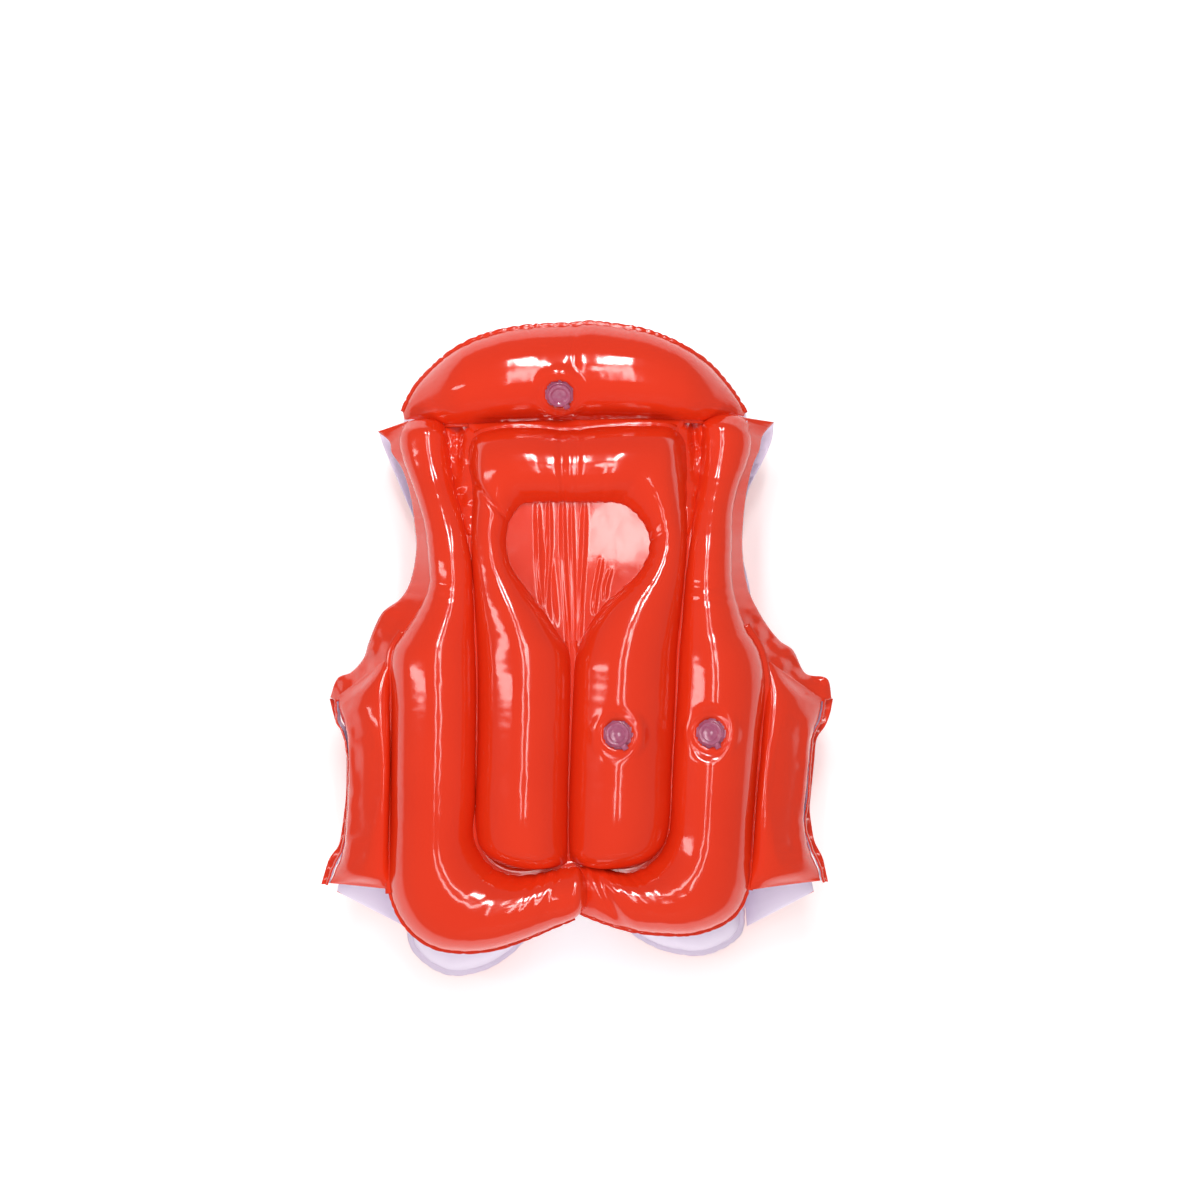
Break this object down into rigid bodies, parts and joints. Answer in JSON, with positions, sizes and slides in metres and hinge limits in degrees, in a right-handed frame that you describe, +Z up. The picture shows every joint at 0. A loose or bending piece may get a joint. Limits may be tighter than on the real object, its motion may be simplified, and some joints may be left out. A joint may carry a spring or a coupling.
{
  "type": "inflatable life jacket",
  "caption": "Child's inflatable vest: film air chambers front and back, head-rest collar, push-in air valves, webbing straps and side-release buckles.",
  "frame": {"origin": "middle of the bounding box in X and Y, at its lowest height: the surface that the jacket lies on, front down", "axes": "+X across the jacket (to the right seen from behind the back panel), +Y from the hem to the collar, +Z up out of the back panel"},
  "size_m": [0.398, 0.505, 0.1553],
  "materials": {
    "outer_film": "glossy calendered PVC film, orange-red",
    "pale_film": "glossy PVC film, white with a cool lilac cast",
    "clear_vinyl": "clear soft vinyl, reads mauve over the red film",
    "webbing": "black woven polypropylene webbing",
    "buckle": "black moulded acetal, fine satin texture"
  },
  "bodies": {
    "root": {"back_outer_chamber": "outer_film", "back_centre_chamber": "outer_film", "window_film": "outer_film", "neck_film": "outer_film", "outer_valve_base": "clear_vinyl", "centre_valve_base": "clear_vinyl", "back_side_cell_left": "outer_film", "front_side_cell_left": "pale_film", "side_film_left": "outer_film", "yoke_film_left": "outer_film", "armhole_flange_left": "outer_film", "shoulder_film_left": "outer_film", "back_side_cell_right": "outer_film", "front_side_cell_right": "pale_film", "side_film_right": "outer_film", "yoke_film_right": "outer_film", "armhole_flange_right": "outer_film", "shoulder_film_right": "outer_film"},
    "collar": {"collar_chamber": "outer_film", "collar_hinge_film": "outer_film", "collar_valve_base": "clear_vinyl"},
    "left_front": {"front_outer_chamber_left": "pale_film", "front_inner_chamber_left": "pale_film", "strap_patch_left_lower": "outer_film", "strap_patch_left_upper": "outer_film", "webbing_left_lower": "webbing", "webbing_left_upper": "webbing"},
    "right_front": {"front_outer_chamber_right": "pale_film", "front_inner_chamber_right": "pale_film", "strap_patch_right_lower": "outer_film", "strap_patch_right_upper": "outer_film", "webbing_right_lower": "webbing", "webbing_right_upper": "webbing"},
    "outer_stem": {"outer_valve_stem": "clear_vinyl"},
    "outer_plug": {"outer_valve_plug": "clear_vinyl"},
    "centre_stem": {"centre_valve_stem": "clear_vinyl"},
    "centre_plug": {"centre_valve_plug": "clear_vinyl"},
    "collar_stem": {"collar_valve_stem": "clear_vinyl"},
    "collar_plug": {"collar_valve_plug": "clear_vinyl"},
    "male_lower": {"buckle_male_lower": "buckle"},
    "female_lower": {"buckle_female_lower": "buckle"},
    "prong_lower_a": {"buckle_prong_lower_a": "buckle"},
    "prong_lower_b": {"buckle_prong_lower_b": "buckle"},
    "male_upper": {"buckle_male_upper": "buckle"},
    "female_upper": {"buckle_female_upper": "buckle"},
    "prong_upper_a": {"buckle_prong_upper_a": "buckle"},
    "prong_upper_b": {"buckle_prong_upper_b": "buckle"}
  },
  "joints": [
    {"name": "collar_fold", "type": "hinge", "parent": "root", "child": "collar", "pos_m": [0, 0.1715, 0.1097], "axis": [1, 0, 0], "range_deg": [-10, 45]},
    {"name": "left_front_swing", "type": "hinge", "parent": "root", "child": "left_front", "pos_m": [-0.1333, 0, 0.025], "axis": [0, 1, 0], "range_deg": [0, 35]},
    {"name": "right_front_swing", "type": "hinge", "parent": "root", "child": "right_front", "pos_m": [0.1333, 0, 0.025], "axis": [0, -1, 0], "range_deg": [0, 35]},
    {"name": "outer_valve_pull", "type": "slide", "parent": "root", "child": "outer_stem", "axis": [-0.1785, 0.0061, 0.9839], "range_m": [0, 0.012]},
    {"name": "outer_plug_pull", "type": "slide", "parent": "outer_stem", "child": "outer_plug", "axis": [-0.1785, 0.0061, 0.9839], "range_m": [0, 0.009]},
    {"name": "centre_valve_pull", "type": "slide", "parent": "root", "child": "centre_stem", "axis": [-0.1405, -0.003, 0.9901], "range_m": [0, 0.012]},
    {"name": "centre_plug_pull", "type": "slide", "parent": "centre_stem", "child": "centre_plug", "axis": [-0.1405, -0.003, 0.9901], "range_m": [0, 0.009]},
    {"name": "collar_valve_pull", "type": "slide", "parent": "collar", "child": "collar_stem", "axis": [-0.0086, -0.4629, 0.8864], "range_m": [0, 0.012]},
    {"name": "collar_plug_pull", "type": "slide", "parent": "collar_stem", "child": "collar_plug", "axis": [-0.0086, -0.4629, 0.8864], "range_m": [0, 0.009]},
    {"name": "male_lower_swivel", "type": "hinge", "parent": "left_front", "child": "male_lower", "pos_m": [-0.033, -0.12, 0.0048], "axis": [0, -1, 0], "range_deg": [-35, 35]},
    {"name": "female_lower_swivel", "type": "hinge", "parent": "right_front", "child": "female_lower", "pos_m": [0.033, -0.12, 0.0048], "axis": [0, 1, 0], "range_deg": [-35, 35]},
    {"name": "prong_lower_a_pinch", "type": "hinge", "parent": "male_lower", "child": "prong_lower_a", "pos_m": [-0.0197, -0.1118, 0.0048], "axis": [0, 0, -1], "range_deg": [0, 7], "stiffness_Nm_per_rad": 0.02},
    {"name": "prong_lower_b_pinch", "type": "hinge", "parent": "male_lower", "child": "prong_lower_b", "pos_m": [-0.0197, -0.1282, 0.0048], "axis": [0, 0, 1], "range_deg": [0, 7], "stiffness_Nm_per_rad": 0.02},
    {"name": "male_upper_swivel", "type": "hinge", "parent": "left_front", "child": "male_upper", "pos_m": [-0.033, -0.02, 0.0048], "axis": [0, -1, 0], "range_deg": [-35, 35]},
    {"name": "female_upper_swivel", "type": "hinge", "parent": "right_front", "child": "female_upper", "pos_m": [0.033, -0.02, 0.0048], "axis": [0, 1, 0], "range_deg": [-35, 35]},
    {"name": "prong_upper_a_pinch", "type": "hinge", "parent": "male_upper", "child": "prong_upper_a", "pos_m": [-0.0197, -0.0118, 0.0048], "axis": [0, 0, -1], "range_deg": [0, 7], "stiffness_Nm_per_rad": 0.02},
    {"name": "prong_upper_b_pinch", "type": "hinge", "parent": "male_upper", "child": "prong_upper_b", "pos_m": [-0.0197, -0.0282, 0.0048], "axis": [0, 0, 1], "range_deg": [0, 7], "stiffness_Nm_per_rad": 0.02}
  ],
  "couplings": [
    {"joint": "prong_lower_b_pinch", "follows": "prong_lower_a_pinch", "ratio": 1},
    {"joint": "prong_upper_b_pinch", "follows": "prong_upper_a_pinch", "ratio": 1}
  ]
}
